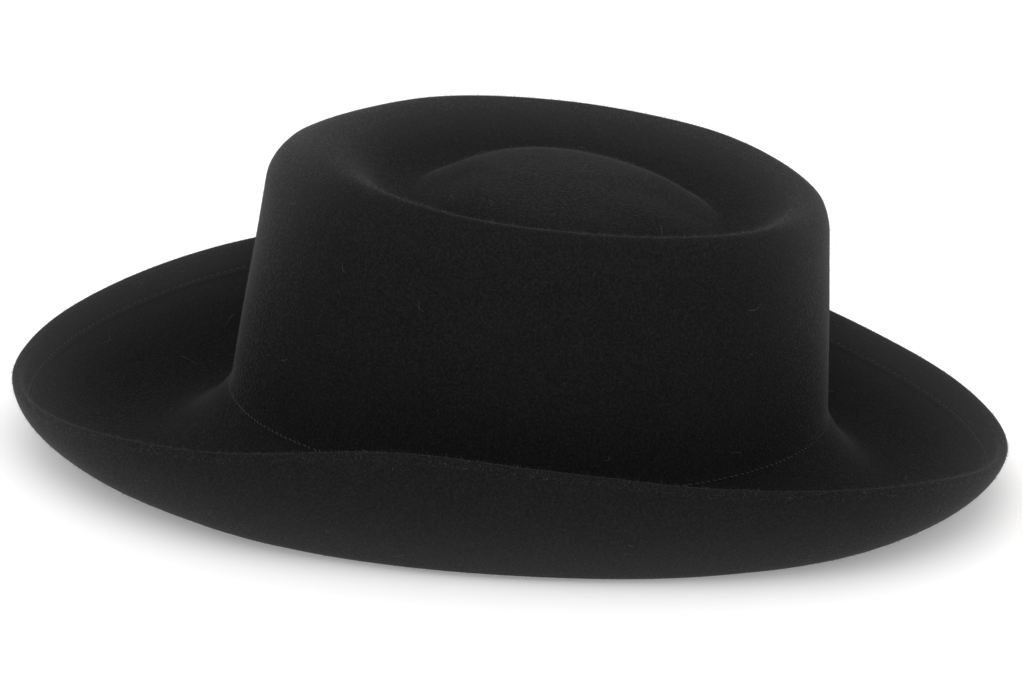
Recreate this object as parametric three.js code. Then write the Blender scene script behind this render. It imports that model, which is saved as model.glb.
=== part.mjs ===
// A velour felt hat. Its telescope crown is pressed down round a raised centre, and its brim rolls up all
// round. The wearer faces -Y and up is +Z. The hat stands on the lowest line of its brim, at z = 0.
// Every length is in millimetres.

import * as THREE from 'three';

// Crown, measured over the felt
const CROWN_LENGTH = 207;      // front to back at the foot of the crown
const CROWN_WIDTH = 168;       // across the foot of the crown
const CROWN_HEIGHT = 92;       // from the foot up to the top line, at the front
const CROWN_LEAN = 34.5;       // how far the top line stands in from the foot, at the front
const CHANNEL_DEPTH = 18;      // from the top line down to the floor of the channel inside it

// Brim
const BRIM_REACH = 73;         // from the foot of the crown out to the rim, at the front
const BRIM_DIP = 22.5;         // from the foot of the crown down to the lowest line of the brim
const BRIM_ROLL = 45;          // from the lowest line up to the rim, at its highest on the right side
const SEAT_WIDTH = 4;          // width of the line where the felt lies flat on what it rests on

// Felt and its folded edge
const FELT_THICKNESS = 2.4;    // one layer of felt with its pile
const WELT_WIDTH = 10.5;       // the edge that is folded over and stitched to the upper face of the brim
const WELT_STEP = 0.7;         // how far the folded edge stands above that face

// Sweatband, a ribbon that stands inside the crown and is sewn to its foot
const BAND_WIDTH = 26;
const BAND_THICKNESS = 1;
const BAND_CLEARANCE = 0.3;    // between the ribbon and the felt

// Steps of the faceted form
const STEPS_ROUND = 60;
const STEPS_ALONG_CURL = 48;   // fine steps that measure the length of the roll

// How far the top line of the crown stands in from the foot at each end and at the sides, as shares of
// CROWN_LEAN
const TOP_LINE_LEAN = { front: 1.0, side: 0.465, back: 0.42 };

// The top line by the turn in degrees from the front: how high it lies on the left and on the right side, as
// shares of CROWN_HEIGHT, and how far out the raised centre inside it reaches, as a share of its reach at the
// side. The line falls towards the back, and a little sooner on the left side.
const TOP_LINE = [
  { turn: 0, left: 1.0, right: 1.0, raised: 0.56 },
  { turn: 45, left: 0.975, right: 0.965, raised: 0.76 },
  { turn: 90, left: 0.937, right: 0.935, raised: 1.0 },
  { turn: 135, left: 0.898, right: 0.91, raised: 0.92 },
  { turn: 180, left: 0.885, right: 0.885, raised: 0.75 },
];

// Inside the top line: how far out a ring lies at the side, as a share of the top line's oval, and how deep
// it is, as a share of CHANNEL_DEPTH. The raised centre is a dome, and beyond RAISED_END the rings widen from
// its form to that of the top line.
const PRESSED_TOP = [
  { out: 0.3, depth: 0.33 },
  { out: 0.5, depth: 0.4 },
  { out: 0.63, depth: 0.49 },
  { out: 0.7, depth: 0.62 },
  { out: 0.76, depth: 0.84 },
  { out: 0.805, depth: 1.0 },
  { out: 0.845, depth: 0.96 },
  { out: 0.885, depth: 0.79 },
  { out: 0.92, depth: 0.54 },
  { out: 0.95, depth: 0.29 },
  { out: 0.98, depth: 0.08 },
];
const CENTRE_DEPTH = 0.29;
const RAISED_END = 0.6;

// Wall of the crown: heights of its rings as shares of the wall, from the top line down to the foot. The
// wall leans in steadily by WALL_LEAN of the whole lean, and the rounded shoulder above SHOULDER takes the
// rest.
const WALL_RINGS = [1, 0.985, 0.955, 0.915, 0.865, 0.8, 0.4, 0.04, 0];
const WALL_LEAN = 0.33;
const SHOULDER = 0.82;

// Rings down the flare of the brim, as shares of its width, and up the roll, as shares of its length to the
// welt
const FLARE_RINGS = [0.15, 0.38, 0.62, 0.84];
const ROLL_RINGS = [0.16, 0.33, 0.5, 0.67, 0.84];
const WELT_RINGS = [1, 0.55];
const RIM_CORNERS = [45, 90, 135];
const ROLL_FULLNESS = 0.93;    // 1 is a quarter of an oval, and less is a flatter bowl
const WELT_EDGE = 1.2;         // width of the step down from the welt to the face of the brim

// The brim from front to back, by the turn in degrees from the front: its reach as a share of BRIM_REACH,
// how far out its lowest line lies as a share of that reach, how full its flare is, and how high the rim
// stands above the lowest line on the left and on the right side, as shares of BRIM_ROLL. The brim is shaped
// by hand, so its two sides differ a little.
const BRIM_SECTIONS = [
  { turn: 0, reach: 1.0, lowest: 0.45, full: 1.0, left: 0.51, right: 0.51 },
  { turn: 42, reach: 0.735, lowest: 0.46, full: 0.9, left: 0.75, right: 0.815 },
  { turn: 70, reach: 0.495, lowest: 0.49, full: 0.65, left: 0.975, right: 1.0 },
  { turn: 95, reach: 0.415, lowest: 0.5, full: 0.6, left: 0.905, right: 0.965 },
  { turn: 120, reach: 0.5, lowest: 0.49, full: 0.65, left: 0.78, right: 0.8 },
  { turn: 148, reach: 0.73, lowest: 0.46, full: 0.9, left: 0.66, right: 0.475 },
  { turn: 180, reach: 0.83, lowest: 0.45, full: 1.0, left: 0.39, right: 0.39 },
];

const FOOT_LEVEL = BRIM_DIP + FELT_THICKNESS;
const RIM_RADIUS = (FELT_THICKNESS + WELT_STEP) / 2;
const UP = new THREE.Vector3(0, 0, 1);
const ANGLES = Array.from({ length: STEPS_ROUND }, (_, i) => (i / STEPS_ROUND) * 2 * Math.PI);

// The rows of a table all the way round, down the left side and back up the right one
function allRound(table) {
  const left = table.map((row) => ({ ...row, height: row.left }));
  const inner = table.slice(1, -1).reverse();
  const right = inner.map((row) => ({ ...row, turn: 360 - row.turn, height: row.right }));
  return [...left, ...right];
}

const TOP_LINE_ROUND = allRound(TOP_LINE);
const BRIM_ROUND = allRound(BRIM_SECTIONS);

// A column of such rows at any turn, on one smooth closed curve through them
function shareAt(rows, column, radians) {
  const turn = THREE.MathUtils.radToDeg(radians);
  const row = (i) => {
    const lap = Math.floor(i / rows.length);
    const source = rows[i - lap * rows.length];
    return { turn: source.turn + 360 * lap, value: source[column] };
  };
  const slope = (i) => (row(i + 1).value - row(i - 1).value) / (row(i + 1).turn - row(i - 1).turn);
  let i = 0;
  while (row(i + 1).turn <= turn) i += 1;
  const span = row(i + 1).turn - row(i).turn;
  const t = (turn - row(i).turn) / span;
  const rest = 1 - t;
  return row(i).value * rest * rest * (1 + 2 * t)
    + row(i + 1).value * t * t * (3 - 2 * t)
    + slope(i) * span * t * rest * rest
    - slope(i + 1) * span * t * t * rest;
}

// Ovals round the crown, and the top line's sizes at a turn

function ovalPoint(front, side, back, radians, height) {
  const forward = Math.cos(radians);
  const half = forward > 0 ? front : back;
  return new THREE.Vector3(side * Math.sin(radians), -half * forward, height);
}

function topLineHeight(radians) {
  return CROWN_HEIGHT * shareAt(TOP_LINE_ROUND, 'height', radians);
}

function crownOval(leanShare, radians, height) {
  const lean = CROWN_LEAN * leanShare;
  return ovalPoint(
    CROWN_LENGTH / 2 - lean * TOP_LINE_LEAN.front,
    CROWN_WIDTH / 2 - lean * TOP_LINE_LEAN.side,
    CROWN_LENGTH / 2 - lean * TOP_LINE_LEAN.back,
    radians,
    height,
  );
}

// How far the wall has leaned in at a share of its height: straight, then round the shoulder
function wallLean(share) {
  const climb = Math.max(0, share - SHOULDER) / (1 - SHOULDER);
  const shoulder = 1 - Math.sqrt(1 - climb * climb);
  return WALL_LEAN * share + (1 - WALL_LEAN) * shoulder;
}

function wallPoint(share, radians) {
  return crownOval(wallLean(share), radians, FOOT_LEVEL + topLineHeight(radians) * share);
}

// A point inside the top line. Towards the centre the dip from front to back levels out.
function pressedPoint(row, radians) {
  const raised = shareAt(TOP_LINE_ROUND, 'raised', radians);
  const widening = THREE.MathUtils.smoothstep(row.out, RAISED_END, 1);
  const share = row.out * THREE.MathUtils.lerp(raised, 1, widening);
  const middle = (topLineHeight(Math.PI / 2) + topLineHeight((3 * Math.PI) / 2)) / 2;
  const line = topLineHeight(radians) * share + middle * (1 - share);
  const point = crownOval(1, radians, 0).multiplyScalar(share);
  point.z = FOOT_LEVEL + line - CHANNEL_DEPTH * row.depth;
  return point;
}

// The brim stands square to the foot of the crown
function footNormal(radians) {
  const normal = new THREE.Vector3(CROWN_LENGTH * Math.sin(radians), -CROWN_WIDTH * Math.cos(radians), 0);
  return normal.normalize();
}

function brimPoint(radians, out, height) {
  const foot = crownOval(0, radians, height);
  return foot.addScaledVector(footNormal(radians), out);
}

function brimSizes(radians) {
  const reach = BRIM_REACH * shareAt(BRIM_ROUND, 'reach', radians);
  const lowest = reach * shareAt(BRIM_ROUND, 'lowest', radians);
  return {
    reach,
    seatIn: lowest - SEAT_WIDTH / 2,
    seatOut: lowest + SEAT_WIDTH / 2,
    full: shareAt(BRIM_ROUND, 'full', radians),
    roll: BRIM_ROLL * shareAt(BRIM_ROUND, 'height', radians),
  };
}

// From the foot down to the seat, level where it lands
function flarePoint(share, radians) {
  const { seatIn, full } = brimSizes(radians);
  const drop = (1 - (1 - share) ** 2) ** full;
  return brimPoint(radians, seatIn * share, FOOT_LEVEL - BRIM_DIP * drop);
}

// From the seat up to the rim on an oval bowl, with the length along it to the rim at each fine step
function curl(radians) {
  const { reach, seatOut, roll } = brimSizes(radians);
  const points = [];
  for (let i = 0; i <= STEPS_ALONG_CURL; i += 1) {
    const angle = (i / STEPS_ALONG_CURL) * (Math.PI / 2);
    const out = seatOut + (reach - seatOut) * Math.sin(angle);
    const height = FOOT_LEVEL - BRIM_DIP + roll * (1 - Math.cos(angle)) ** ROLL_FULLNESS;
    points.push(brimPoint(radians, out, height));
  }
  const toRim = points.map(() => 0);
  for (let i = points.length - 2; i >= 0; i -= 1) {
    toRim[i] = toRim[i + 1] + points[i].distanceTo(points[i + 1]);
  }
  return { points, toRim, length: toRim[0] };
}

// The point of a curl that lies a given length from its rim
function curlPoint({ points, toRim }, distance) {
  let i = points.length - 2;
  while (i > 0 && toRim[i] < distance) i -= 1;
  const t = (toRim[i] - distance) / (toRim[i] - toRim[i + 1]);
  return points[i].clone().lerp(points[i + 1], t);
}

// The upper face of the felt, as rings from the raised centre out to the rim. A ring says how far the welt
// lifts it, whether it is part of the level seat, and whether the under face has a ring there too.
function upperFace() {
  const curls = ANGLES.map(curl);
  const ring = (pointAt, options) => ({ points: ANGLES.map(pointAt), lift: 0, under: true, ...options });
  const fromRim = (lengthAt, options) => ring((_, i) => curlPoint(curls[i], lengthAt(curls[i])), options);
  const weltEnd = WELT_WIDTH + WELT_EDGE;
  return [
    ...PRESSED_TOP.map((row) => ring((a) => pressedPoint(row, a))),
    ...WALL_RINGS.map((share) => ring((a) => wallPoint(share, a))),
    ...FLARE_RINGS.map((share) => ring((a) => flarePoint(share, a))),
    ring((a) => flarePoint(1, a), { seat: true }),
    fromRim(({ length }) => length, { seat: true }),
    ...ROLL_RINGS.map((share) => fromRim(({ length }) => length - (length - weltEnd) * share)),
    fromRim(() => weltEnd, { under: false }),
    ...WELT_RINGS.map((share) => fromRim(() => WELT_WIDTH * share, { lift: WELT_STEP })),
    fromRim(() => RIM_RADIUS, { lift: WELT_STEP }),
  ];
}

// The direction square to the face at each point of each ring, from its neighbours along and across the
// rings
function addNormals(rings) {
  rings.forEach((ring, r) => {
    const before = rings[Math.max(r - 1, 0)].points;
    const after = rings[Math.min(r + 1, rings.length - 1)].points;
    ring.normals = ring.points.map((_, i) => {
      const next = ring.points[(i + 1) % STEPS_ROUND];
      const last = ring.points[(i + STEPS_ROUND - 1) % STEPS_ROUND];
      const outward = after[i].clone().sub(before[i]);
      const along = next.clone().sub(last);
      return ring.seat ? UP.clone() : outward.cross(along).normalize();
    });
  });
}

function moved(ring, distance) {
  return ring.points.map((point, i) => point.clone().addScaledVector(ring.normals[i], distance));
}

// The rounded rim, which turns from the lifted welt round to the under face
function rimRings(rings) {
  const rim = rings[rings.length - 1];
  const before = rings[rings.length - 2];
  const middle = moved(rim, WELT_STEP - RIM_RADIUS);
  return RIM_CORNERS.map((degrees) => {
    const corner = THREE.MathUtils.degToRad(degrees);
    return middle.map((centre, i) => {
      const outward = rim.points[i].clone().sub(before.points[i]).normalize();
      return centre.clone()
        .addScaledVector(rim.normals[i], RIM_RADIUS * Math.cos(corner))
        .addScaledVector(outward, RIM_RADIUS * Math.sin(corner));
    });
  });
}

// One closed mesh from rings of points, each ring joined to the next. It ends in a point at both ends where
// they are given, and otherwise its last ring joins its first one.
function loft(rings, start, end) {
  const positions = rings.flat().flatMap((point) => [point.x, point.y, point.z]);
  const indices = [];
  const steps = rings[0].length;
  const joins = start ? rings.length - 1 : rings.length;
  for (let r = 0; r < joins; r += 1) {
    const next = (r + 1) % rings.length;
    for (let i = 0; i < steps; i += 1) {
      const j = (i + 1) % steps;
      const [a, b] = [r * steps + i, r * steps + j];
      const [c, d] = [next * steps + i, next * steps + j];
      indices.push(a, c, b, b, c, d);
    }
  }
  if (start) {
    const last = (rings.length - 1) * steps;
    const top = rings.length * steps;
    positions.push(start.x, start.y, start.z, end.x, end.y, end.z);
    for (let i = 0; i < steps; i += 1) {
      const j = (i + 1) % steps;
      indices.push(top, i, j, top + 1, last + j, last + i);
    }
  }
  const geometry = new THREE.BufferGeometry();
  geometry.setAttribute('position', new THREE.Float32BufferAttribute(positions, 3));
  geometry.setIndex(indices);
  geometry.computeVertexNormals();
  return geometry;
}

// Crown and brim: one piece of felt with an upper face, a rounded rim and an under face
function feltGeometry() {
  const rings = upperFace();
  addNormals(rings);
  const upper = rings.map((ring) => moved(ring, ring.lift));
  const under = rings.filter((ring) => ring.under).map((ring) => moved(ring, -FELT_THICKNESS));
  const top = pressedPoint({ out: 0, depth: CENTRE_DEPTH }, 0);
  const bottom = top.clone().addScaledVector(UP, -FELT_THICKNESS);
  return loft([...upper, ...rimRings(rings), ...under.reverse()], top, bottom);
}

// The ribbon stands inside the crown from its foot upwards, and follows the wall
function bandGeometry() {
  const heights = [0, 0.5, 1].map((share) => BAND_WIDTH * share);
  const inwards = (height, distance) => ANGLES.map((a) => {
    const point = wallPoint(height / topLineHeight(a), a);
    return point.addScaledVector(footNormal(a), -distance);
  });
  const outerFace = FELT_THICKNESS + BAND_CLEARANCE;
  const innerFace = outerFace + BAND_THICKNESS;
  const outer = heights.map((height) => inwards(height, outerFace));
  const inner = heights.map((height) => inwards(height, innerFace));
  return loft([...inner, ...outer.reverse()]);
}

function blackVelour() {
  return new THREE.MeshStandardMaterial({ color: 0x1d1d1f, roughness: 0.95, metalness: 0 });
}

function blackRibbon() {
  return new THREE.MeshStandardMaterial({ color: 0x151517, roughness: 0.7, metalness: 0 });
}

function named(name, geometry, material) {
  const mesh = new THREE.Mesh(geometry, material);
  mesh.name = name;
  return mesh;
}

const hat = new THREE.Group();
hat.add(named('felt_body', feltGeometry(), blackVelour()));
hat.add(named('sweatband', bandGeometry(), blackRibbon()));

// The front of the brim reaches further out than the back, so the hat moves back to stand centred on its
// footprint
hat.position.y = (brimSizes(0).reach - brimSizes(Math.PI).reach) / 2;

export default hat;
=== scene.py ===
import math

import bpy
import numpy as np
from mathutils import Matrix, Vector


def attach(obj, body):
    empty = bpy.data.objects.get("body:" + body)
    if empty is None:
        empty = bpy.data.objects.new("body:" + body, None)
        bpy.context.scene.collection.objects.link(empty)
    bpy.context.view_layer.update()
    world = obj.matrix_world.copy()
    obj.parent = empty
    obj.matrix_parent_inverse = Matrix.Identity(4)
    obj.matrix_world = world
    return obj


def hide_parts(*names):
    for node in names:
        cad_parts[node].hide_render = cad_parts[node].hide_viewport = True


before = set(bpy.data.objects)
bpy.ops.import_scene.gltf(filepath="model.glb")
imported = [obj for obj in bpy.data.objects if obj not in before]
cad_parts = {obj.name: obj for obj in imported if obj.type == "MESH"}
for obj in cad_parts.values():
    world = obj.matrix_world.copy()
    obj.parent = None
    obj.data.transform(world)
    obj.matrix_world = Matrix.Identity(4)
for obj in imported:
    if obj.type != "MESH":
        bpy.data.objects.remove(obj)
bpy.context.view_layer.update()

# A velour felt hat. Its telescope crown is pressed down round a raised centre, and its brim rolls up all
# round to a folded, stitched edge. The wearer faces -Y and up is +Z, and every length is in metres.

MM = 0.001

# Crown, measured over the felt
CROWN_LENGTH = 207 * MM        # front to back at the foot of the crown
CROWN_WIDTH = 168 * MM         # across the foot of the crown
CROWN_HEIGHT = 92 * MM         # from the foot up to the top line, at the front
CROWN_LEAN = 34.5 * MM         # how far the top line stands in from the foot, at the front
CHANNEL_DEPTH = 18 * MM        # from the top line down to the floor of the channel inside it

# Brim
BRIM_REACH = 73 * MM           # from the foot of the crown out to the rim, at the front
BRIM_DIP = 22.5 * MM           # from the foot of the crown down to the lowest line of the brim
BRIM_ROLL = 45 * MM            # from the lowest line up to the rim, at its highest on the right side
SEAT_WIDTH = 4 * MM            # width of the line where the felt lies flat on what it rests on

# Felt and its folded edge
FELT_THICKNESS = 2.4 * MM
WELT_WIDTH = 10.5 * MM         # the edge that is folded over and stitched to the upper face of the brim
WELT_STEP = 0.7 * MM           # how far the folded edge stands above that face
WELT_EDGE = 1.2 * MM           # width of the step down from the welt to the face of the brim
SEAM_INSET = 0.9 * MM          # from the cut edge of the welt out to its row of stitches
SEAM_SINK = 0.35 * MM          # how deep those stitches pull the felt in
SEAM_REACH = 0.7 * MM          # how far to each side they do
UNEVENNESS = 0.35 * MM         # how far hand blocking leaves the felt off its true form

# Sweatband, a grosgrain ribbon that stands inside the crown and is sewn to its foot
BAND_WIDTH = 26 * MM
BAND_THICKNESS = 1 * MM
BAND_CLEARANCE = 0.3 * MM
RIB_PITCH = 1.1 * MM
RIB_DEPTH = 0.16 * MM

# Light that the lens scatters
VEIL_REACH = 0.13              # how far light from the white surroundings spreads, as a share of the width
VEIL_STRENGTH = 0.042          # its share of the picture

# The mesh: points round each ring of the felt, and steps that measure the length of the roll
STEPS_ROUND = 400
STEPS_ALONG_CURL = 96
WAVES = 14                     # how many slow waves make up the unevenness

# The nap's hairs
NAP_WIDTH = 0.1 * MM
NAP_SINK = 0.15 * MM           # how deep their roots sit in the felt
NAP_LEAN = 84                  # degrees from upright, for those that lie flattest
NAP_STANDING = 74              # how many degrees less the most upright ones lean

# How far the top line stands in from the foot at each end and at the sides, as shares of CROWN_LEAN
TOP_LINE_LEAN = {"front": 1.0, "side": 0.465, "back": 0.42}

# The top line by the turn in degrees from the front: how high it lies on the left and on the right side, as
# shares of CROWN_HEIGHT, and how far out the raised centre inside it reaches, as a share of its reach at the
# side
TOP_LINE = [
    dict(turn=0, left=1.0, right=1.0, raised=0.56),
    dict(turn=45, left=0.975, right=0.965, raised=0.76),
    dict(turn=90, left=0.937, right=0.935, raised=1.0),
    dict(turn=135, left=0.898, right=0.91, raised=0.92),
    dict(turn=180, left=0.885, right=0.885, raised=0.75),
]

# Inside the top line: how far out a ring lies at the side, as a share of the top line's oval, and how deep it
# is, as a share of CHANNEL_DEPTH. The rows up to RAISED_END are the raised centre, which turns down at
# RAISED_EDGE.
RAISED_END = 0.6
RAISED_EDGE = 0.69
PRESSED_TOP = [
    dict(out=0.0, depth=0.29),
    dict(out=0.3, depth=0.33),
    dict(out=0.5, depth=0.4),
    dict(out=0.63, depth=0.49),
    dict(out=0.7, depth=0.62),
    dict(out=0.76, depth=0.84),
    dict(out=0.805, depth=1.0),
    dict(out=0.845, depth=0.96),
    dict(out=0.885, depth=0.79),
    dict(out=0.92, depth=0.54),
    dict(out=0.95, depth=0.29),
    dict(out=0.98, depth=0.08),
    dict(out=1.0, depth=0.0),
]

# The wall leans in steadily by WALL_LEAN of the whole lean, and the rounded shoulder above SHOULDER, a share of
# the wall's height, takes the rest
WALL_LEAN = 0.33
SHOULDER = 0.82
ROLL_FULLNESS = 0.93           # 1 is a quarter of an oval, and less is a flatter bowl

# The brim from front to back, by the turn in degrees from the front: its reach as a share of BRIM_REACH, how
# far out its lowest line lies as a share of that reach, how full its flare is, and how high the rim stands
# above the lowest line on the left and on the right side, as shares of BRIM_ROLL
BRIM_SECTIONS = [
    dict(turn=0, reach=1.0, lowest=0.45, full=1.0, left=0.51, right=0.51),
    dict(turn=42, reach=0.735, lowest=0.46, full=0.9, left=0.75, right=0.815),
    dict(turn=70, reach=0.495, lowest=0.49, full=0.65, left=0.975, right=1.0),
    dict(turn=95, reach=0.415, lowest=0.5, full=0.6, left=0.905, right=0.965),
    dict(turn=120, reach=0.5, lowest=0.49, full=0.65, left=0.78, right=0.8),
    dict(turn=148, reach=0.73, lowest=0.46, full=0.9, left=0.66, right=0.475),
    dict(turn=180, reach=0.83, lowest=0.45, full=1.0, left=0.39, right=0.39),
]

FOOT_LEVEL = BRIM_DIP + FELT_THICKNESS
RIM_RADIUS = (FELT_THICKNESS + WELT_STEP) / 2
UP = np.array([0.0, 0.0, 1.0])


# Curves through the tables

def all_round(table):
    """The rows of a table down the left side and back up the right one, with the side's own height."""
    left = [dict(row, height=row["left"]) for row in table]
    right = [dict(row, turn=360 - row["turn"], height=row["right"]) for row in table[-2:0:-1]]
    return left + right


def hermite(at, value, slope, where):
    """The cubic curve through the values at those places, with those slopes."""
    i = np.clip(np.searchsorted(at, where, side="right") - 1, 0, len(at) - 2)
    span = at[i + 1] - at[i]
    t = (where - at[i]) / span
    rest = 1 - t
    return (
        value[i] * rest * rest * (1 + 2 * t)
        + value[i + 1] * t * t * (3 - 2 * t)
        + slope[i] * span * t * rest * rest
        - slope[i + 1] * span * t * t * rest
    )


def share_at(table, column, turns):
    """A column of a table at each turn in radians, on one smooth closed curve through its rows."""
    rows = all_round(table)
    at = np.array([row["turn"] for row in rows], float)
    value = np.array([row[column] for row in rows], float)
    at = np.concatenate([at[-2:] - 360, at, at[:3] + 360])
    value = np.concatenate([value[-2:], value, value[:3]])
    slope = np.gradient(value)
    slope[1:-1] = (value[2:] - value[:-2]) / (at[2:] - at[:-2])
    return hermite(at, value, slope, np.degrees(turns))


def pressed_depth(out):
    """How deep the pressed top lies at a share of the top line's oval, on one smooth curve."""
    at = np.array([row["out"] for row in PRESSED_TOP])
    value = np.array([row["depth"] for row in PRESSED_TOP])
    slope = np.gradient(value, at)
    slope[0] = 0
    return hermite(at, value, slope, np.asarray(out, float))


# Rings of points round the hat. A ring has one point for each of the turns.

class Form:
    """The hat's form at a number of turns from the front, which run towards the wearer's left."""

    def __init__(self, steps):
        self.turns = np.arange(steps) / steps * 2 * np.pi
        self.top_height = CROWN_HEIGHT * share_at(TOP_LINE, "height", self.turns)
        self.middle_height = CROWN_HEIGHT * share_at(TOP_LINE, "height", np.radians([90, 270])).mean()
        self.raised = share_at(TOP_LINE, "raised", self.turns)
        self.reach = BRIM_REACH * share_at(BRIM_SECTIONS, "reach", self.turns)
        lowest = self.reach * share_at(BRIM_SECTIONS, "lowest", self.turns)
        self.seat_in = lowest - SEAT_WIDTH / 2
        self.seat_out = lowest + SEAT_WIDTH / 2
        self.full = share_at(BRIM_SECTIONS, "full", self.turns)
        self.roll = BRIM_ROLL * share_at(BRIM_SECTIONS, "height", self.turns)
        ends = BRIM_REACH * share_at(BRIM_SECTIONS, "reach", np.radians([0, 180]))
        self.shift = (ends[0] - ends[1]) / 2
        self.curl, self.to_rim = self.measured_curl()

    def oval(self, lean, height, share=1.0):
        """An oval round the crown at a share of its lean and at that height."""
        forward = np.cos(self.turns)
        end = np.where(forward > 0, TOP_LINE_LEAN["front"], TOP_LINE_LEAN["back"])
        half = CROWN_LENGTH / 2 - CROWN_LEAN * lean * end
        side = CROWN_WIDTH / 2 - CROWN_LEAN * lean * TOP_LINE_LEAN["side"]
        height = np.broadcast_to(height, self.turns.shape)
        return np.stack([share * side * np.sin(self.turns), -share * half * forward, height], axis=1)

    def wall(self, share):
        """The wall at a share of its height: straight, then in round the shoulder."""
        climb = np.maximum(0, share - SHOULDER) / (1 - SHOULDER)
        shoulder = 1 - math.sqrt(max(0, 1 - climb * climb))
        lean = WALL_LEAN * share + (1 - WALL_LEAN) * shoulder
        return self.oval(lean, FOOT_LEVEL + self.top_height * share)

    def pressed(self, out):
        """Inside the top line. Towards the centre the dip from front to back levels out."""
        t = max(0, out - RAISED_END) / (1 - RAISED_END)
        widening = t * t * (3 - 2 * t)
        share = out * (self.raised + (1 - self.raised) * widening)
        line = self.top_height * share + self.middle_height * (1 - share)
        return self.oval(1, FOOT_LEVEL + line - CHANNEL_DEPTH * pressed_depth(out), share)

    def outwards(self):
        """Square to the foot of the crown, level."""
        across = np.stack([
            CROWN_LENGTH * np.sin(self.turns),
            -CROWN_WIDTH * np.cos(self.turns),
            np.zeros_like(self.turns),
        ], axis=1)
        return across / np.linalg.norm(across, axis=1, keepdims=True)

    def brim(self, out, height):
        """A ring that far out from the foot of the crown, at that height."""
        return self.oval(0, height) + self.outwards() * np.broadcast_to(out, self.turns.shape)[:, None]

    def flare(self, share):
        """From the foot down to the seat, level where it lands."""
        drop = (1 - (1 - share) ** 2) ** self.full
        return self.brim(self.seat_in * share, FOOT_LEVEL - BRIM_DIP * drop)

    def measured_curl(self):
        """From the seat up to the rim on an oval bowl, and the length left to the rim at each step."""
        rings = []
        for angle in np.linspace(0, math.pi / 2, STEPS_ALONG_CURL + 1):
            out = self.seat_out + (self.reach - self.seat_out) * math.sin(angle)
            climb = (1 - math.cos(angle)) ** ROLL_FULLNESS
            rings.append(self.brim(out, FOOT_LEVEL - BRIM_DIP + self.roll * climb))
        rings = np.array(rings)
        pieces = np.linalg.norm(np.diff(rings, axis=0), axis=2)
        to_rim = np.concatenate([np.cumsum(pieces[::-1], axis=0)[::-1], np.zeros((1, len(self.turns)))])
        return rings, to_rim

    def from_rim(self, distance):
        """The ring that lies that length down the curl from the rim."""
        distance = np.broadcast_to(distance, self.turns.shape)
        ring = np.empty((len(self.turns), 3))
        for i, length in enumerate(distance):
            for axis in range(3):
                ring[i, axis] = np.interp(length, self.to_rim[::-1, i], self.curl[::-1, i, axis])
        return ring


def welt_lift(distance):
    """How far the felt's face is lifted at a length from the rim: the folded edge and its sunken seam."""
    t = np.clip((WELT_WIDTH + WELT_EDGE - distance) / WELT_EDGE, 0, 1)
    seam = (distance - (WELT_WIDTH - SEAM_INSET)) / SEAM_REACH
    return WELT_STEP * t * t * (3 - 2 * t) - SEAM_SINK * math.exp(-seam * seam)


def upper_face(form):
    """The rings of the upper face from the raised centre out to the rim, how far each is lifted, and where
    the landmarks lie in that list."""
    welt_end = WELT_WIDTH + WELT_EDGE
    length = form.to_rim[0]
    outs = np.concatenate([np.linspace(0.04, 0.6, 15), np.linspace(0.62, 1.0, 32)[:-1]])
    rings = [form.pressed(out) for out in outs]
    raised = int(np.argmin(np.abs(outs - RAISED_EDGE)))
    crest = len(rings)
    climbs = np.linspace(math.pi / 2, 0, 14)
    rings += [form.wall(SHOULDER + (1 - SHOULDER) * math.sin(climb)) for climb in climbs]
    rings += [form.wall(SHOULDER * share ** 1.2) for share in np.linspace(1, 0, 31)[1:]]
    foot = len(rings) - 1
    rings += [form.flare(share ** 1.4) for share in np.linspace(0, 1, 19)[1:]]
    seat = [len(rings) - 1, len(rings)]
    rings += [form.from_rim(length - (length - welt_end) * share) for share in np.linspace(0, 1, 23)]
    lifts = [0.0] * len(rings)
    edge = welt_end - WELT_EDGE * np.array([0.25, 0.5, 0.75, 1.0])
    seam = WELT_WIDTH - SEAM_INSET + np.linspace(0.7, -1.6, 9) * MM
    border = np.linspace(WELT_WIDTH - SEAM_INSET - 2.4 * MM, RIM_RADIUS, 6)
    distances = np.concatenate([edge, seam, border])
    # The stitches lie along the fourth of the seam's rings
    stitches = len(rings) + len(edge) + 3
    rings += [form.from_rim(distance) for distance in distances]
    lifts += [welt_lift(distance) for distance in distances]
    marks = dict(raised=raised, crest=crest, foot=foot, seat=seat, stitches=stitches)
    return np.array(rings), np.array(lifts), marks


def eased(rings, bend, before, after, passes, share=1.0):
    """The rings with a bend rounded off over so many rings before and after it, fading out towards both."""
    rings = rings.copy()
    first, last = bend - before, bend + after
    middle = (first + last) / 2
    index = np.arange(first, last + 1)
    weight = (1 - ((index - middle) / (last - first) * 2) ** 2)[:, None, None] * share
    for _ in range(passes):
        between = (rings[first - 1:last] + rings[first + 1:last + 2]) / 2
        rings[first:last + 1] += weight * 0.5 * (between - rings[first:last + 1])
    return rings


def normals_of(rings, level=()):
    """The direction square to the face at each point, from its neighbours along and across the rings."""
    across = np.concatenate([rings[1:2] - rings[:1], rings[2:] - rings[:-2], rings[-1:] - rings[-2:-1]])
    along = np.roll(rings, -1, axis=1) - np.roll(rings, 1, axis=1)
    normals = np.cross(across, along)
    normals /= np.linalg.norm(normals, axis=2, keepdims=True)
    for ring in level:
        normals[ring] = UP
    return normals


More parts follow.
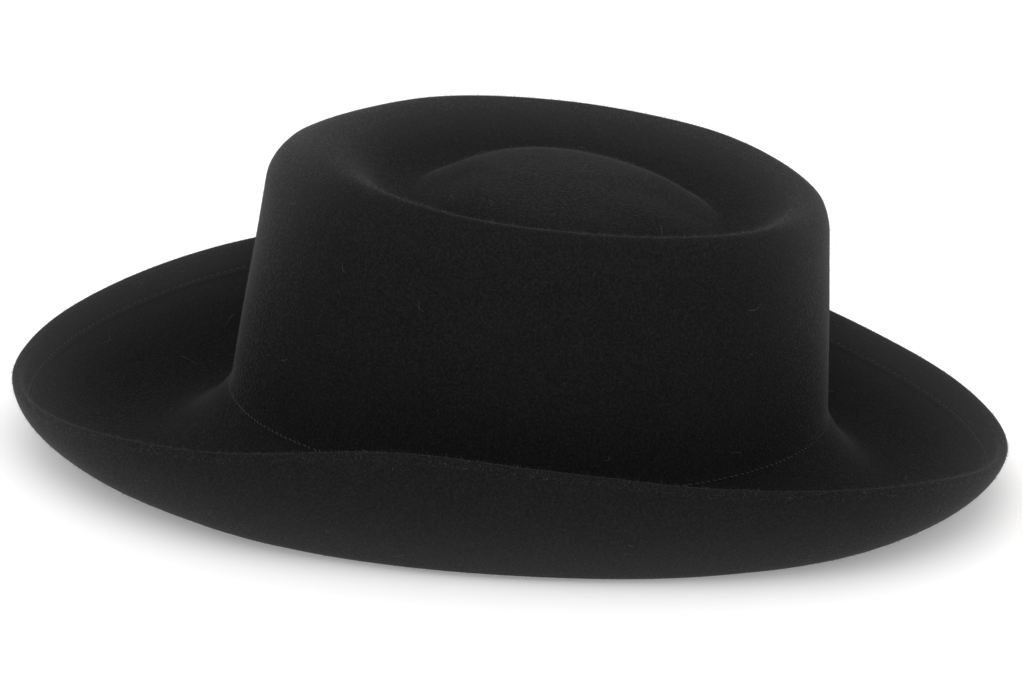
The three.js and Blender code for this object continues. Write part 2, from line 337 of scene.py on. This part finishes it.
def hand_shaping(points, seed):
    """Slow waves between -1 and 1 over the felt, which blocking and brushing by hand leave."""
    rng = np.random.default_rng(seed)
    total = np.zeros(points.shape[:-1])
    for _ in range(WAVES):
        direction = rng.normal(size=3)
        direction /= np.linalg.norm(direction)
        wavelength = rng.uniform(38, 95) * MM
        total += np.sin(2 * np.pi * (points @ direction) / wavelength + rng.uniform(0, 2 * np.pi))
    return total / (WAVES / 2)


# Meshes

def mesh_piece(name, points, faces, finish):
    """One piece of the hat, smooth shaded, riding on the hat's one body."""
    mesh = bpy.data.meshes.new(name)
    mesh.from_pydata(points.tolist(), [], faces.tolist() if isinstance(faces, np.ndarray) else faces)
    mesh.validate()
    mesh.shade_smooth()
    piece = bpy.data.objects.new(name, mesh)
    bpy.context.scene.collection.objects.link(piece)
    piece.data.materials.append(finish)
    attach(piece, "root")
    return piece


def ring_faces(rings, steps, closed):
    """Quads between each ring and the next, and from the last to the first where the section is closed."""
    ring = np.arange(rings if closed else rings - 1)[:, None]
    step = np.arange(steps)[None, :]
    after = (step + 1) % steps
    below = (ring + 1) % rings
    return np.stack([
        ring * steps + step,
        below * steps + step,
        below * steps + after,
        ring * steps + after,
    ], axis=-1).reshape(-1, 4)


class Felt:
    """Crown and brim: one piece of felt with an upper face, a rounded rim and an under face."""

    def __init__(self):
        form = Form(STEPS_ROUND)
        rings, lifts, self.marks = upper_face(form)
        seat = self.marks["seat"]
        rings = eased(rings, self.marks["foot"], before=4, after=5, passes=5)
        at_ends = 0.06 + 0.94 * np.cos(form.turns[:, None]) ** 4
        rings = eased(rings, self.marks["crest"], before=9, after=8, passes=60, share=at_ends)
        rings = eased(rings, self.marks["raised"], before=9, after=9, passes=50)
        rings[:, :, 1] += form.shift
        calm = np.clip((rings[:, :, 2] - FELT_THICKNESS) / (12 * MM), 0, 1)
        normals = normals_of(rings, seat)
        rings = rings + normals * (UNEVENNESS * calm * hand_shaping(rings, seed=11))[:, :, None]
        self.skin = rings
        self.normals = normals_of(rings, seat)
        self.upper = rings + self.normals * lifts[:, None, None]
        self.below = rings - self.normals * FELT_THICKNESS
        self.rim = self.rim_rings()
        self.under = self.under_rings()
        self.top = self.upper[0].mean(axis=0)

    def rim_rings(self):
        """The rounded rim, which turns from the lifted welt round to the under face."""
        last, before = self.skin[-1], self.skin[-2]
        normal = self.normals[-1]
        outward = last - before
        outward /= np.linalg.norm(outward, axis=1, keepdims=True)
        middle = last + normal * (WELT_STEP - RIM_RADIUS)
        corners = np.radians(np.linspace(0, 180, 11)[1:-1])
        return np.array([
            middle + RIM_RADIUS * (normal * math.cos(corner) + outward * math.sin(corner))
            for corner in corners
        ])

    def under_rings(self):
        """The under face, with every second ring and those of the seat."""
        keep = [i for i in range(len(self.below)) if i % 2 == 0 or i in self.marks["seat"]]
        return self.below[keep]

    def edge(self):
        """The rings round the rim, from the upper to the under face, and the directions square to them."""
        rings = np.concatenate([self.upper[-3:], self.rim, self.below[-1:-3:-1]])
        return rings, normals_of(rings)

    def points(self):
        """All the rings, from the top over the rim to the inside, and the two points that close them."""
        grid = np.concatenate([self.upper, self.rim, self.under[::-1]])
        ends = np.array([self.top, self.top - FELT_THICKNESS * UP])
        return grid, ends

    def piece(self, finish):
        """Makes the felt, with both its faces closed at the middle of the top."""
        grid, ends = self.points()
        count, steps = grid.shape[:2]
        faces = ring_faces(count, steps, closed=False).tolist()
        top, bottom = count * steps, count * steps + 1
        last = (count - 1) * steps
        for i in range(steps):
            j = (i + 1) % steps
            faces.append([top, i, j])
            faces.append([bottom, last + j, last + i])
        points = np.concatenate([grid.reshape(-1, 3), ends])
        felt = mesh_piece("felt", points, faces, finish)
        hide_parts("felt_body")


def scatter(face, normals, count, rng, first=0, last=None):
    """Random places on the face between two of its rings, evenly by area, and its direction there."""
    near, far = face[first:last][:-1], face[first:last][1:]
    beside = np.roll(near, -1, axis=1)
    area = np.linalg.norm(np.cross(far - near, beside - near), axis=2).ravel()
    cell = rng.choice(area.size, count, p=area / area.sum())
    ring, step = np.divmod(cell, face.shape[1])
    after = (step + 1) % face.shape[1]
    u, v = rng.random((2, count, 1))
    low = near[ring, step] * (1 - u) + near[ring, after] * u
    high = far[ring, step] * (1 - u) + far[ring, after] * u
    return low * (1 - v) + high * v, normals[first:last][ring, step]


def square_to(normals, rng):
    """A random direction in the face at each place, and the one square to it."""
    side = np.cross(normals, rng.normal(size=normals.shape))
    side /= np.linalg.norm(side, axis=1, keepdims=True)
    return side, np.cross(normals, side)


def nap(name, places, normals, finish, rng, tallest):
    """Short hairs on the felt, each a closed spike with three sides, joined in one piece. Where the hat
    rests, its weight lays them flat."""
    count = len(places)
    side, other = square_to(normals, rng)
    lean = np.radians(NAP_LEAN - NAP_STANDING * rng.random((count, 1)) ** 2)
    length = tallest * rng.uniform(0.4, 1.0, (count, 1))
    tips = places + length * (normals * np.cos(lean) + side * np.sin(lean))
    tips[:, 2] = np.maximum(tips[:, 2], 0)
    thick = NAP_WIDTH * rng.uniform(0.5, 1.0, (count, 1)) / 2
    corners = []
    for angle in (0, 120, 240):
        turn = math.radians(angle)
        beside = side * math.cos(turn) + other * math.sin(turn)
        corners.append(places - normals * NAP_SINK + thick * beside)
    points = np.stack([*corners, tips], axis=1).reshape(-1, 3)
    first = np.arange(count)[:, None, None] * 4
    faces = (first + np.array([[0, 2, 1], [0, 1, 3], [1, 2, 3], [2, 0, 3]])).reshape(-1, 3)
    mesh_piece(name, points, faces, finish)


def thread_piece(name, points, rounds, sides, finish):
    """Makes one piece from many threads, each given by its rings of points, closed at both ends."""
    quads = ring_faces(rounds, sides, closed=False)
    per = rounds * sides
    faces = []
    for first in range(0, len(points) * per, per):
        faces += (quads + first).tolist()
        faces.append([first + step for step in range(sides)])
        faces.append([first + per - 1 - step for step in range(sides)])
    mesh_piece(name, points.reshape(-1, 3), faces, finish)


def threads(name, centres, along, across, up, finish, length, width, arch):
    """Stitches, each a bowed thread with round ends that dives into the felt, joined in one piece."""
    rounds, sides = 7, 6
    count = len(centres)
    at = np.linspace(-1, 1, rounds)
    reach = np.sin(at * math.pi / 2)
    swell = np.cos(at * math.pi / 2) ** 0.5
    swell[[0, -1]] = 0.3
    rings = []
    for place, size in zip(reach, swell):
        middle = centres + along * (place * length / 2) + up * (arch * (1 - place * place) - arch / 2)
        for side in range(sides):
            turn = 2 * math.pi * side / sides
            rings.append(middle + size * width / 2 * (across * math.cos(turn) + up * math.sin(turn)))
    thread_piece(name, np.stack(rings, axis=1), rounds, sides, finish)


def loose_hairs(name, places, normals, finish, rng, longest=8 * MM, width=0.08 * MM):
    """Long hairs that stand off the felt in a bow, each a closed thread with pointed ends, joined in one
    piece."""
    rounds, sides = 9, 4
    count = len(places)
    side, other = square_to(normals, rng)
    bow = rng.uniform(-1.2, 1.2, (count, 1))
    length = longest * rng.uniform(0.25, 1.0, (count, 1)) ** 1.5
    rise = length * rng.uniform(0.08, 0.4, (count, 1))
    rings = []
    for at in np.linspace(-1, 1, rounds):
        middle = places + side * length / 2 * at + other * length / 4 * bow * (at * at - 0.5)
        middle = middle + normals * (rise * (1 - at * at) - 0.1 * MM)
        middle[:, 2] = np.maximum(middle[:, 2], width)
        thick = width / 2 * math.sqrt(max(0.04, 1 - at * at))
        for step in range(sides):
            turn = 2 * math.pi * step / sides
            rings.append(middle + thick * (other * math.cos(turn) + normals * math.sin(turn)))
    thread_piece(name, np.stack(rings, axis=1), rounds, sides, finish)


def sewn_row(name, ring, normals, finish, rng, pitch, length, width, slant, arch=0.25 * MM):
    """A row of stitches round a ring of the felt."""
    loop = np.concatenate([ring, ring[:1]])
    run = np.concatenate([[0], np.cumsum(np.linalg.norm(np.diff(loop, axis=0), axis=1))])
    count = round(run[-1] / pitch)
    at = (np.arange(count) + 0.5 + rng.uniform(-0.12, 0.12, count)) * run[-1] / count

    def on(values, where):
        closed = np.concatenate([values, values[:1]])
        return np.stack([np.interp(where % run[-1], run, closed[:, axis]) for axis in range(3)], axis=1)

    centres, up = on(ring, at), on(normals, at)
    up /= np.linalg.norm(up, axis=1, keepdims=True)
    forward = on(ring, at + pitch / 4) - on(ring, at - pitch / 4)
    across = np.cross(up, forward)
    across /= np.linalg.norm(across, axis=1, keepdims=True)
    forward = np.cross(across, up)
    turn = np.radians(slant + rng.uniform(-5, 5, (count, 1)))
    along = forward * np.cos(turn) + across * np.sin(turn)
    beside = np.cross(up, along)
    threads(name, centres, along, beside, up, finish, length, width, arch)


def sweatband(finish):
    """The grosgrain ribbon inside the crown, with its ribs across it."""
    around = 2 * math.pi * math.sqrt((CROWN_LENGTH ** 2 + CROWN_WIDTH ** 2) / 8)
    steps = 4 * round(around / RIB_PITCH)
    form = Form(steps)
    rib = np.sin(np.arange(steps) * np.pi / 2) * RIB_DEPTH / 2
    heights = BAND_WIDTH * np.array([0, 0.03, 0.5, 0.97, 1])
    rounding = np.array([0.7, 0, 0, 0, 0.7]) * BAND_THICKNESS / 2

    def ring(height, distance):
        lean = WALL_LEAN * height / form.top_height
        point = form.oval(lean, FOOT_LEVEL + height)
        return point - form.outwards() * np.broadcast_to(distance, form.turns.shape)[:, None]

    face = FELT_THICKNESS + BAND_CLEARANCE
    outer = [ring(height, face + inset) for height, inset in zip(heights, rounding)]
    inner = [ring(height, face + BAND_THICKNESS - inset + rib) for height, inset in zip(heights, rounding)]
    rings = np.array([*inner, *outer[::-1]])
    rings[:, :, 1] += form.shift
    faces = ring_faces(len(rings), steps, closed=True)
    band = mesh_piece("sweatband_ribbon", rings.reshape(-1, 3), faces, finish)
    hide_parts("sweatband")


# Finishes

class Wire:
    """A value in a finish. Operators on it add the Math nodes that work it out."""

    def __init__(self, finish, socket):
        self.finish = finish
        self.socket = socket

    def math(self, operation, *values):
        return self.finish.node("ShaderNodeMath", {"operation": operation}, dict(enumerate(values)))

    def __add__(self, other):
        return self.math("ADD", self, other)

    def __mul__(self, other):
        return self.math("MULTIPLY", self, other)

    __radd__ = __add__
    __rmul__ = __mul__


class Finish:
    """A procedural material and the nodes that make it."""

    def __init__(self, name):
        self.material = bpy.data.materials.new(name)
        self.material.use_nodes = True
        self.nodes = self.material.node_tree.nodes
        self.nodes.clear()
        self.place = self.node("ShaderNodeTexCoord", output="Object")

    def node(self, kind, settings=None, inputs=None, output=0):
        node = self.nodes.new(kind)
        for name, value in (settings or {}).items():
            setattr(node, name, value)
        for name, value in (inputs or {}).items():
            if isinstance(value, Wire):
                self.material.node_tree.links.new(value.socket, node.inputs[name])
            else:
                node.inputs[name].default_value = value
        return Wire(self, node.outputs[output])

    def noise(self, size, detail=2.0, roughness=0.5):
        """Even noise from 0 to 1 with lumps of about that size."""
        inputs = {"Vector": self.place, "Scale": 1 / size, "Detail": detail, "Roughness": roughness}
        return self.node("ShaderNodeTexNoise", {"noise_dimensions": "3D"}, inputs)

    def between(self, low, high, value):
        """0 below low, 1 above high, and smooth between."""
        inputs = {"Value": value, "From Min": low, "From Max": high}
        return self.node("ShaderNodeMapRange", {"interpolation_type": "SMOOTHSTEP"}, inputs)

    def mixed(self, dark, light, factor):
        """A colour between two."""
        inputs = {0: factor, 6: (*dark, 1), 7: (*light, 1)}
        return self.node("ShaderNodeMix", {"data_type": "RGBA"}, inputs, output=2)

    def bump(self, height, depth, strength=1.0):
        return self.node("ShaderNodeBump", {}, {"Height": height, "Distance": depth, "Strength": strength})

    def surface(self, **sockets):
        inputs = {name.replace("_", " "): value for name, value in sockets.items()}
        shader = self.node("ShaderNodeBsdfPrincipled", {}, inputs)
        out = self.nodes.new("ShaderNodeOutputMaterial")
        self.material.node_tree.links.new(shader.socket, out.inputs["Surface"])
        return self.material


def velour_finish():
    """Black velour felt: a dense short nap, lighter where its tips catch the light."""
    f = Finish("black_velour")
    nap = f.noise(0.9 * MM, detail=3, roughness=0.6)
    brushed = f.noise(9 * MM, detail=3, roughness=0.6)
    patches = f.noise(60 * MM, detail=2)
    tips = f.between(0.54, 0.66, f.noise(0.8 * MM, detail=2))
    tone = f.between(0.34, 0.66, nap) * 0.5 + brushed * 0.22 + patches * 0.15 + tips * 0.42
    colour = f.mixed((0.0022, 0.0022, 0.0022), (0.0128, 0.013, 0.0132), tone)
    return f.surface(
        Base_Color=colour,
        Roughness=0.95,
        Specular_IOR_Level=0.1,
        Sheen_Weight=0.12,
        Sheen_Roughness=0.2,
        Sheen_Tint=(0.97, 0.98, 1.0, 1.0),
        Normal=f.bump(nap + tips * 0.4, 0.35 * MM, 0.6),
    )


def nap_finish(name, dark, pale):
    """The free ends of the velour's hairs, some of them pale with light."""
    f = Finish(name)
    hair = f.noise(1.3 * MM, detail=1)
    colour = f.mixed((dark, dark, dark), (pale, pale, pale * 1.02), f.between(0.52, 0.7, hair))
    return f.surface(
        Base_Color=colour,
        Roughness=0.8,
        Specular_IOR_Level=0.3,
        Sheen_Weight=0.1,
        Sheen_Roughness=0.4,
        Normal=f.bump(hair, 0.05 * MM, 0.3),
    )


def hair_finish():
    """The longest hairs, bleached grey."""
    f = Finish("grey_hair")
    along = f.noise(2 * MM, detail=1)
    return f.surface(
        Base_Color=f.mixed((0.04, 0.04, 0.04), (0.13, 0.13, 0.13), along),
        Roughness=0.5,
        Normal=f.bump(along, 0.03 * MM, 0.3),
    )


def ribbon_finish():
    """Black grosgrain, a little rubbed where the head touches it."""
    f = Finish("black_grosgrain")
    weave = f.noise(0.35 * MM, detail=2)
    wear = f.noise(22 * MM, detail=2)
    colour = f.mixed((0.004, 0.004, 0.0045), (0.012, 0.012, 0.013), weave * 0.6 + wear * 0.4)
    return f.surface(
        Base_Color=colour,
        Roughness=0.55 + wear * 0.2,
        Sheen_Weight=0.1,
        Normal=f.bump(weave, 0.1 * MM, 0.5),
    )


def thread_finish():
    """Twisted thread, a little paler than the felt."""
    f = Finish("charcoal_thread")
    twist = f.noise(0.3 * MM, detail=1)
    colour = f.mixed((0.006, 0.006, 0.006), (0.019, 0.019, 0.02), twist)
    return f.surface(
        Base_Color=colour,
        Roughness=0.6,
        Sheen_Weight=0.1,
        Normal=f.bump(twist, 0.08 * MM, 0.5),
    )


def floor_finish():
    """A white table with a painted glow: it gives off a little light of its own, which keeps it white and
    lights the hat from below.
    """
    f = Finish("pale_table")
    speckle = f.noise(60 * MM, detail=3)
    return f.surface(
        Base_Color=f.mixed((0.87, 0.87, 0.865), (0.9, 0.9, 0.895), speckle),
        Roughness=0.7,
        Specular_IOR_Level=0.2,
        Emission_Color=(1.0, 1.0, 1.0, 1.0),
        Emission_Strength=0.25,
    )


# Stage

def add_floor():
    mesh = bpy.data.meshes.new("table_top")
    far = 6.0
    mesh.from_pydata([(-far, -far, 0), (far, -far, 0), (far, far, 0), (-far, far, 0)], [], [(0, 1, 2, 3)])
    floor = bpy.data.objects.new("table_top", mesh)
    floor.location.z = -0.05 * MM
    bpy.context.scene.collection.objects.link(floor)
    floor.data.materials.append(floor_finish())


def add_softbox(name, place, target, size, power):
    light = bpy.data.lights.new(name, "AREA")
    light.shape = "RECTANGLE"
    light.size, light.size_y = size
    light.energy = power
    lamp = bpy.data.objects.new(name, light)
    lamp.location = place
    lamp.rotation_euler = (Vector(target) - Vector(place)).to_track_quat("-Z", "Y").to_euler()
    bpy.context.scene.collection.objects.link(lamp)


def add_light():
    """A white tent with one large softbox overhead."""
    world = bpy.data.worlds.new("white_tent")
    world.use_nodes = True
    world.node_tree.nodes["Background"].inputs["Color"].default_value = (1, 1, 1, 1)
    world.node_tree.nodes["Background"].inputs["Strength"].default_value = 0.82
    bpy.context.scene.world = world
    add_softbox("overhead", (0.75, -0.25, 1.5), (0, 0, 0.05), (1.6, 1.6), 12)
    bpy.context.scene.view_settings.view_transform = "Standard"


def add_veil():
    """A little of the white surroundings spreads over the picture, as a bright tent does in a lens."""
    scene = bpy.context.scene
    scene.use_nodes = True
    tree = scene.node_tree
    tree.nodes.clear()
    picture = tree.nodes.new("CompositorNodeRLayers")
    spread = tree.nodes.new("CompositorNodeBlur")
    spread.filter_type = "FAST_GAUSS"
    reach = tree.nodes.new("CompositorNodeRelativeToPixel")
    reach.data_type = "FLOAT"
    reach.reference_dimension = "X"
    reach.inputs["Value"].default_value = VEIL_REACH
    veiled = tree.nodes.new("CompositorNodeMixRGB")
    veiled.inputs["Fac"].default_value = VEIL_STRENGTH
    result = tree.nodes.new("CompositorNodeComposite")
    tree.links.new(picture.outputs["Image"], reach.inputs["Image"])
    tree.links.new(reach.outputs["Value"], spread.inputs["Size"])
    tree.links.new(picture.outputs["Image"], spread.inputs["Image"])
    tree.links.new(picture.outputs["Image"], veiled.inputs[1])
    tree.links.new(spread.outputs["Image"], veiled.inputs[2])
    tree.links.new(veiled.outputs["Image"], result.inputs["Image"])


def add_camera():
    """From the wearer's left and a little above, turned a little about its own line of sight."""
    turn, climb, tilt = math.radians(0.5), math.radians(20.5), math.radians(3.33)
    distance = 2.12
    target = Vector((0, -1.1 * MM, 45.3 * MM))
    back = Vector((math.cos(turn) * math.cos(climb), math.sin(turn) * math.cos(climb), math.sin(climb)))
    right = Vector((-math.sin(turn), math.cos(turn), 0))
    up = back.cross(right)
    across = right * math.cos(tilt) + up * math.sin(tilt)
    above = up * math.cos(tilt) - right * math.sin(tilt)
    data = bpy.data.cameras.new("camera")
    data.sensor_width = 36
    data.lens = 216.6
    camera = bpy.data.objects.new("camera", data)
    facing = Matrix((across, above, back)).transposed().to_4x4()
    camera.matrix_world = Matrix.Translation(target + back * distance) @ facing
    bpy.context.scene.collection.objects.link(camera)
    bpy.context.scene.camera = camera


# The hat

def add_seams(felt, rng):
    """The stitches that hold the folded edge down, and those that hold the sweatband."""
    thread = thread_finish()
    welt, foot = felt.marks["stitches"], felt.marks["foot"]
    sewn_row("welt_stitches", felt.upper[welt], felt.normals[welt], thread, rng,
             pitch=2.6 * MM, length=1.5 * MM, width=0.32 * MM, slant=10)
    sewn_row("band_stitches", felt.upper[foot], felt.normals[foot], thread, rng,
             pitch=2.3 * MM, length=1.6 * MM, width=0.32 * MM, slant=-22)


def add_nap(felt, rng):
    """The free ends of the velour's hairs: short all over, and taller along the edges, paler there with a
    painted highlight.
    """
    raised, crest, foot = felt.marks["raised"], felt.marks["crest"], felt.marks["foot"]
    fresh = nap_finish("black_velour_nap", dark=0.005, pale=0.05)
    # Paler hairs for the top line and the rim: a painted highlight, standing in for the light their nap catches
    # at the edges
    painted_edge_highlight = nap_finish("painted_edge_highlight_velour_nap", dark=0.02, pale=0.15)
    upper, under, edge = (felt.upper, felt.normals), (felt.below, -felt.normals), felt.edge()
    for name, (face, normals), first, last, count, tallest, finish in (
        ("crown_nap", upper, 0, foot, 44000, 1.25 * MM, fresh),
        ("brim_nap", upper, foot, None, 44000, 1.25 * MM, fresh),
        ("under_nap", under, foot, None, 40000, 1.4 * MM, fresh),
        ("raised_centre_nap", upper, raised - 8, raised + 3, 6000, 1.6 * MM, fresh),
        ("top_line_nap", upper, crest - 3, crest + 3, 11000, 1.9 * MM, painted_edge_highlight),
        ("rim_nap", edge, 0, None, 12000, 1.9 * MM, painted_edge_highlight),
    ):
        places, directions = scatter(face, normals, count, rng, first, last)
        nap(name, places, directions, finish, rng, tallest)


def add_loose_hairs(felt, rng):
    """A few long hairs that brushing has drawn out."""
    finish = hair_finish()
    places, directions = scatter(felt.upper, felt.normals, 70, rng)
    loose_hairs("loose_hairs", places, directions, finish, rng)
    places, directions = scatter(felt.below, -felt.normals, 60, rng, felt.marks["foot"])
    loose_hairs("loose_hairs_under", places, directions, finish, rng)


def add_hat():
    felt = Felt()
    felt.piece(velour_finish())
    sweatband(ribbon_finish())
    rng = np.random.default_rng(5)
    add_seams(felt, rng)
    add_nap(felt, rng)
    add_loose_hairs(felt, rng)


add_hat()
add_floor()
add_light()
add_veil()
add_camera()
